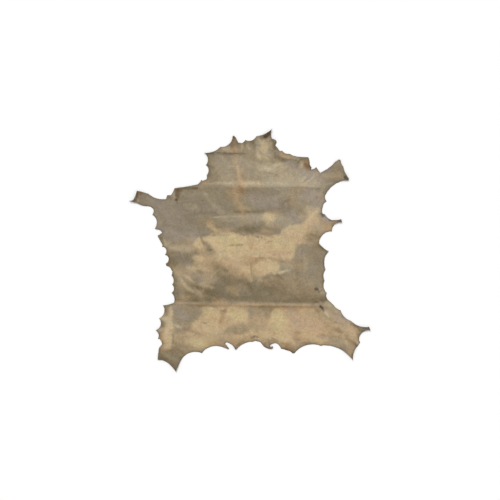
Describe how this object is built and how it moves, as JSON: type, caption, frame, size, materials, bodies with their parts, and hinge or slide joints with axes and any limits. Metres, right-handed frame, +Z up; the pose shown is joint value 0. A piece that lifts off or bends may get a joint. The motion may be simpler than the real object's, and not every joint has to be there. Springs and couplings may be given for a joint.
{
  "type": "leather hide",
  "caption": "Whole raw goat hide lying flat, with a scalloped peg-dried edge, leg and neck corners, and storage folds across it.",
  "frame": {"origin": "centre of the hide's outline box, on the surface it lies on", "axes": "+Z up through the skin, +Y towards the neck, +X towards the right-hand legs as seen from above"},
  "size_m": [1.002, 1.01, 0.0114],
  "materials": {
    "hide": "dried raw skin, matte with a faint waxy sheen, cream and grey-brown patches, darker rim"
  },
  "bodies": {
    "root": {"hide": "hide"}
  },
  "joints": []
}
